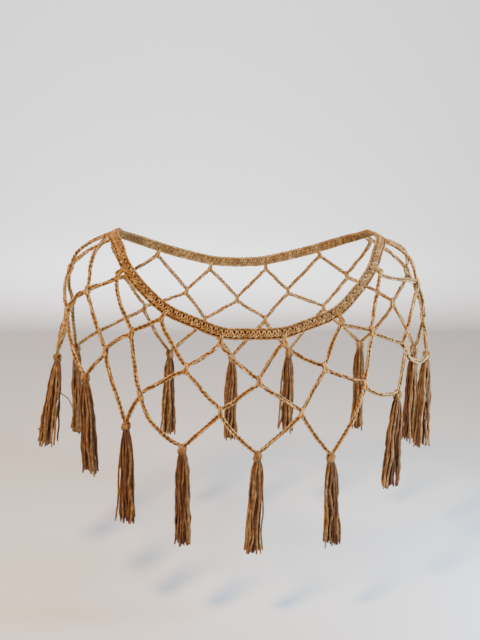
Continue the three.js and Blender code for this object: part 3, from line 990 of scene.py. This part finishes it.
def skirt_lines(row, rng):
    """Centre lines of the strands that hang from a knot, with their radius and the reach of their painted
    shade at each step.
    """
    each = (STRAND_ENDS, 1)
    angle = np.arange(STRAND_ENDS) * GOLDEN_ANGLE + rng.uniform(0, TURN)
    reach = np.sqrt((np.arange(STRAND_ENDS) + 0.5) / STRAND_ENDS)
    start = np.stack([reach * np.cos(angle), reach * np.sin(angle)], -1)
    tips = start + rng.normal(0, TIP_SCATTER, start.shape)
    length = (row.tassel + SKIRT_TOP) * rng.uniform(*STRAND_LENGTH, STRAND_ENDS)
    wave_phase = rng.uniform(0, TURN, start.shape)
    wave_count = rng.uniform(*WAVE_COUNT, each)
    wave_size = rng.uniform(*WAVE_SIZE, each)
    kink_phase = rng.uniform(0, TURN, start.shape)
    kink_count = rng.uniform(*KINK_COUNT, each)
    kink_size = rng.uniform(*KINK_SIZE, each)
    flick = start * np.clip(rng.exponential(FLICK_MEAN, each), 0, FLICK_MOST)
    flick += rng.normal(0, FLICK_SCATTER, start.shape)
    levels = []
    radii = []
    shade_reaches = []
    offset = np.zeros_like(start)
    neck_depth = SKIRT_TOP - NECK_HEIGHT
    shares = np.linspace(0, 1, STRAND_STEPS) ** SKIRT_STEP_POWER
    for share in shares:
        depth = max(share * (row.tassel + SKIRT_TOP) - neck_depth, 0)
        swell = 1 - math.exp(-depth / SWELL_DEPTH)
        radius = STRAND_RADIUS * (NECK_SQUEEZE + (1 - NECK_SQUEEZE) * swell)
        spread = np.array(NECK_REACH) + np.array(SKIRT_SWELL) * swell
        spread *= 1 + (row.spread - 1) * math.sqrt(share)
        core = start + (tips - start) * share
        wave = wave_size * swell * np.sin(wave_count * share * TURN + wave_phase)
        kink = kink_size * swell * np.sin(kink_count * share * TURN + kink_phase)
        flicked = flick * max(share - FLICK_FROM, 0) / (1 - FLICK_FROM) * share
        target = core * spread + wave + kink + flicked
        placed = packed(target + offset, radius * PACK_CLOSENESS)
        offset = PACK_MEMORY * (placed - target)
        levels.append(placed)
        radii.append(np.full(STRAND_ENDS, radius))
        # Painted shade: strands darken towards the tassel's axis, more at the neck under the knot
        shade_reaches.append((spread.mean() + radius) * (1 + NECK_SHADE * (1 - swell)))
    height = SKIRT_TOP - shares * length[:, None]
    lines = np.concatenate([np.stack(levels, 1), height[..., None]], -1)
    radius = np.stack(radii, 1)
    radius[:, -1] *= TIP_TAPER
    # Painted shade: each strand's shade goes a random share further
    shade = rng.uniform(*STRAND_SHADE, (STRAND_ENDS, 1, 1))
    return lines, radius, np.array(shade_reaches)[:, None] * shade


def knot_half(arc, level, hand, size):
    """Half of a strand of the knot, from behind to beside the middle of its front."""
    wide = arc.reach * size * hand
    behind = hand * (KNOT_BACK + KNOT_BACK_STEP * level)
    rows = []
    for fold in KNOT_FOLD:
        side = behind * fold.behind + wide * fold.wide + hand * fold.hand
        back = fold.back - arc.front * fold.front
        rows.append((side, back, arc.top * fold.top + arc.bottom * fold.bottom + fold.up))
    return rows


def knot_lines(rng):
    """Strands that fold over the chain and cross the front of a tassel's head, nested in each other."""
    folds = []
    for level, arc in enumerate(KNOT_ARCS):
        left, right = (knot_half(arc, level, hand, size) for hand, size in zip((-1, 1), KNOT_HALVES))
        folds.append([*left, (0.0, -arc.front, arc.bottom), *reversed(right)])
    folds = np.array(folds) + rng.normal(0, KNOT_WOBBLE, (len(folds), len(folds[0]), 3))
    folds[..., 2] += KNOT_TILT * folds[..., 0]
    return curve_through(folds, KNOT_STEPS, False)


def make_tassel(number, row, material):
    rng = np.random.default_rng(TASSEL_SEED + number)
    place = on_shoulders(row.three, row.three_z) - UP * (CORD_RADIUS + CLEARANCE)
    turn = math.radians(row.three)
    side = np.array([math.cos(turn), math.sin(turn), 0.0])
    inwards = np.array([-math.sin(turn), math.cos(turn), 0.0])

    def placed(lines, lean):
        share = np.clip(-lines[..., 2:] / row.tassel, 0, 1)
        return place + lines @ np.stack([side, inwards, UP]) + share * lean * RIGHT

    yarn = Yarn()
    lines, radius, reach = skirt_lines(row, rng)
    # Painted shade: the skirt's strands darken towards the tassel's axis
    yarn.add(placed(lines, row.lean), radius, placed(lines * UP, row.lean), reach, STRAND_SIDES)
    folds = knot_lines(rng)
    # Painted shade: the knot's strands darken towards its middle line, which stops at a set height
    shade_centre = np.minimum(folds * UP, KNOT_SHADE_CENTRE_TOP)
    yarn.add(placed(folds, 0), KNOT_YARN_RADIUS, placed(shade_centre, 0), KNOT_SHADE_REACH)
    for core in KNOT_CORES:
        bottom = (core.side, core.back, KNOT_CORE_BOTTOM)
        top = (core.side * KNOT_CORE_TAPER, core.back, core.top)
        inside = placed(np.linspace(bottom, top, KNOT_CORE_STEPS)[None], 0)
        # Painted shade: the core strands under the knot are painted partly dark
        yarn.add(inside, KNOT_CORE_RADIUS, inside, KNOT_CORE_SHADE_REACH)
    for stray in STRAYS:
        if stray.tassel == number:
            line = place + curve_through(np.array([stray.way], float), STRAY_STEPS, False)
            yarn.add(line, STRAY_RADIUS, line, STRAY_RADIUS)
    yarn.make(f"tassel_{number:02d}_strands", material, [f"tassel_{number:02d}"])


# Finishes
def new_group(name, inputs, outputs):
    group = bpy.data.node_groups.new(name, "ShaderNodeTree")
    for label, kind, value in inputs:
        socket = group.interface.new_socket(label, in_out="INPUT", socket_type=kind)
        if value is not None:
            socket.default_value = value
    for label, kind in outputs:
        group.interface.new_socket(label, in_out="OUTPUT", socket_type=kind)
    return group, group.nodes.new("NodeGroupInput"), group.nodes.new("NodeGroupOutput")


def math_node(tree, operation, first, second=None):
    node = tree.nodes.new("ShaderNodeMath")
    node.operation = operation
    for socket, value in zip(node.inputs, (first, second)):
        if value is None:
            continue
        if isinstance(value, (int, float)):
            socket.default_value = value
        else:
            tree.links.new(value, socket)
    return node.outputs[0]


def ply_twist_group():
    """Ridges of the plies that wind round the yarn."""
    inputs = [
        ("Yarn", "NodeSocketVector", None),
        ("Plies", "NodeSocketFloat", PLY_COUNT),
        ("Turns per Metre", "NodeSocketFloat", PLY_TURNS_PER_METRE),
    ]
    group, given, result = new_group("ply_twist", inputs, [("Ridge", "NodeSocketFloat")])
    split = group.nodes.new("ShaderNodeSeparateXYZ")
    group.links.new(given.outputs["Yarn"], split.inputs[0])
    wound = math_node(group, "MULTIPLY", split.outputs["X"], given.outputs["Turns per Metre"])
    round_yarn = math_node(group, "MULTIPLY", split.outputs["Y"], given.outputs["Plies"])
    phase = math_node(group, "FRACT", math_node(group, "ADD", wound, round_yarn))
    doubled = math_node(group, "MULTIPLY", phase, 2.0)
    centred = math_node(group, "ABSOLUTE", math_node(group, "SUBTRACT", doubled, 1.0))
    ridge = math_node(group, "SUBTRACT", 1.0, math_node(group, "MULTIPLY", centred, centred))
    group.links.new(ridge, result.inputs["Ridge"])
    return group


def noise(group, vector, scale, detail, roughness):
    node = group.nodes.new("ShaderNodeTexNoise")
    node.inputs["Detail"].default_value = detail
    node.inputs["Roughness"].default_value = roughness
    group.links.new(vector, node.inputs["Vector"])
    group.links.new(scale, node.inputs["Scale"])
    return node.outputs["Fac"]


def fibre_group():
    """Fine fibres that run along the yarn, and slow changes of tone from place to place."""
    inputs = [
        ("Yarn", "NodeSocketVector", None),
        ("Place", "NodeSocketVector", None),
        ("Fibre Scale", "NodeSocketFloat", FIBRE_SCALE),
        ("Tone Scale", "NodeSocketFloat", TONE_SCALE),
    ]
    outputs = [("Fibre", "NodeSocketFloat"), ("Tone", "NodeSocketFloat")]
    group, given, result = new_group("yarn_fibre", inputs, outputs)
    stretch = group.nodes.new("ShaderNodeMapping")
    stretch.inputs["Scale"].default_value = FIBRE_STRETCH
    group.links.new(given.outputs["Yarn"], stretch.inputs["Vector"])
    fibre = noise(group, stretch.outputs[0], given.outputs["Fibre Scale"], FIBRE_DETAIL, FIBRE_ROUGHNESS)
    tone = noise(group, given.outputs["Place"], given.outputs["Tone Scale"], TONE_DETAIL, TONE_ROUGHNESS)
    group.links.new(fibre, result.inputs["Fibre"])
    group.links.new(tone, result.inputs["Tone"])
    return group


def mix_colour(tree, kind, amount, first, second):
    node = tree.nodes.new("ShaderNodeMix")
    node.data_type = "RGBA"
    node.blend_type = kind
    for socket, value in ((node.inputs[0], amount), (node.inputs[6], first), (node.inputs[7], second)):
        if isinstance(value, (int, float, tuple)):
            socket.default_value = value
        else:
            tree.links.new(value, socket)
    return node.outputs[2]


def ramp(tree, value, stops):
    node = tree.nodes.new("ShaderNodeValToRGB")
    elements = node.color_ramp.elements
    while len(elements) < len(stops):
        elements.new(0.5)
    for element, (place, colour) in zip(elements, stops):
        element.position = place
        element.color = (*colour, 1.0)
    tree.links.new(value, node.inputs[0])
    return node.outputs[0]


def yarn_material(name, groups, tones):
    """Soft yarn of several plies, with painted shade in the grooves between them and deep in the stitches,
    fibres and a little sheen.
    """
    material = bpy.data.materials.new(name)
    material.use_nodes = True
    tree = material.node_tree
    shader = tree.nodes["Principled BSDF"]
    uv = tree.nodes.new("ShaderNodeUVMap")
    uv.uv_map = UV_NAME
    where = tree.nodes.new("ShaderNodeTexCoord")
    painted_shade_mask = tree.nodes.new("ShaderNodeAttribute")
    painted_shade_mask.attribute_name = SHADE_MASK_NAME
    twist = tree.nodes.new("ShaderNodeGroup")
    twist.node_tree = groups["ply_twist"]
    fibre = tree.nodes.new("ShaderNodeGroup")
    fibre.node_tree = groups["fibre"]
    tree.links.new(uv.outputs[0], twist.inputs["Yarn"])
    tree.links.new(uv.outputs[0], fibre.inputs["Yarn"])
    tree.links.new(where.outputs["Object"], fibre.inputs["Place"])
    dye = ramp(tree, fibre.outputs["Tone"], list(zip(TONE_STOPS, (tones.deep, tones.middle, tones.pale))))
    # Painted shade: the grooves between the plies are darker than their ridges
    shade = math_node(tree, "MULTIPLY_ADD", twist.outputs["Ridge"], PLY_SHADE_RISE)
    shade.node.inputs[2].default_value = PLY_SHADE_LOW
    ply_groove_shade = tree.nodes.new("ShaderNodeCombineColor")
    for socket in ply_groove_shade.inputs:
        tree.links.new(shade, socket)
    ply_shaded_dye = mix_colour(tree, "MULTIPLY", PLY_SHADE_MIX, dye, ply_groove_shade.outputs[0])
    hairs = tree.nodes.new("ShaderNodeCombineColor")
    for socket in hairs.inputs:
        tree.links.new(fibre.outputs["Fibre"], socket)
    haired = mix_colour(tree, "OVERLAY", FIBRE_MIX, ply_shaded_dye, hairs.outputs[0])
    # Painted shade: yarn that lies deep in the work is darkened by how open it lies
    painted_shade_tint = ramp(tree, painted_shade_mask.outputs["Fac"], [(FULL_SHADE_BELOW, tones.hidden), (NO_SHADE_ABOVE, UNTINTED)])
    tree.links.new(mix_colour(tree, "MULTIPLY", 1.0, haired, painted_shade_tint), shader.inputs["Base Color"])
    relief = math_node(tree, "MULTIPLY_ADD", fibre.outputs["Fibre"], FIBRE_RELIEF)
    tree.links.new(twist.outputs["Ridge"], relief.node.inputs[2])
    bump = tree.nodes.new("ShaderNodeBump")
    bump.inputs["Strength"].default_value = 1.0
    bump.inputs["Distance"].default_value = PLY_DEPTH * MM
    tree.links.new(relief, bump.inputs["Height"])
    tree.links.new(bump.outputs[0], shader.inputs["Normal"])
    shader.inputs["Roughness"].default_value = YARN_ROUGHNESS
    shader.inputs["Sheen Weight"].default_value = SHEEN_WEIGHT
    shader.inputs["Sheen Roughness"].default_value = SHEEN_ROUGHNESS
    shader.inputs["Sheen Tint"].default_value = SHEEN_TINT
    return material


# Stage and light
def make_floor():
    """A pale floor that curves up all round, so that no edge shows behind the collar."""
    bm = bmesh.new()
    profile = [(0.0, 0.0), (FLOOR_FLAT, 0.0)]
    rise = FLOOR_RADIUS - FLOOR_FLAT
    for step in range(1, FLOOR_CURVE_STEPS + 1):
        angle = math.pi / 2 * step / FLOOR_CURVE_STEPS
        profile.append((FLOOR_FLAT + rise * math.sin(angle), rise * (1 - math.cos(angle))))
    profile.append((FLOOR_RADIUS, FLOOR_WALL))
    verts = [bm.verts.new((reach, 0, FLOOR_HEIGHT + height)) for reach, height in profile]
    edges = [bm.edges.new(pair) for pair in zip(verts, verts[1:])]
    bmesh.ops.spin(bm, geom=verts + edges, axis=UP, angle=TURN, steps=FLOOR_SIDES, use_merge=True)
    bmesh.ops.remove_doubles(bm, verts=bm.verts, dist=MM)
    bmesh.ops.recalc_face_normals(bm, faces=bm.faces)
    for face in bm.faces:
        face.smooth = True
    mesh = bpy.data.meshes.new("floor")
    bm.to_mesh(mesh)
    bm.free()
    material = bpy.data.materials.new("pale_floor")
    material.use_nodes = True
    shader = material.node_tree.nodes["Principled BSDF"]
    shader.inputs["Base Color"].default_value = FLOOR_COLOUR
    shader.inputs["Roughness"].default_value = FLOOR_ROUGHNESS
    mesh.materials.append(material)
    floor = add_object("floor", mesh)


def make_light(lamp):
    data = bpy.data.lights.new(lamp.name, "AREA")
    data.shape = "DISK"
    data.size = lamp.size
    data.energy = lamp.power
    data.color = lamp.colour
    light = add_object(lamp.name, data)
    light.location = lamp.place
    light.visible_camera = False
    light.rotation_euler = (Vector(lamp.aim) - Vector(lamp.place)).to_track_quat("-Z", "Y").to_euler()


def make_studio():
    make_floor()
    world = bpy.data.worlds.new("studio")
    world.use_nodes = True
    background = world.node_tree.nodes["Background"]
    background.inputs["Color"].default_value = ROOM_COLOUR
    background.inputs["Strength"].default_value = ROOM_STRENGTH
    bpy.context.scene.world = world
    for lamp in LAMPS:
        make_light(lamp)


make_camera()
make_studio()
yarn_groups = {"ply_twist": ply_twist_group(), "fibre": fibre_group()}
crochet_yarn = yarn_material("crochet_yarn", yarn_groups, CROCHET_TONES)
shaded_fringe_yarn = yarn_material("shaded_fringe_yarn", yarn_groups, SHADED_FRINGE_TONES)
make_band(band_way(), crochet_yarn)
for round_number, net_round in enumerate(make_rounds(), 1):
    make_round(round_number, net_round, BAND_WRAP if round_number == 1 else CORD_WRAP, crochet_yarn)
for tassel_number, repeat in enumerate(REPEATS, 1):
    make_tassel(tassel_number, repeat, shaded_fringe_yarn)
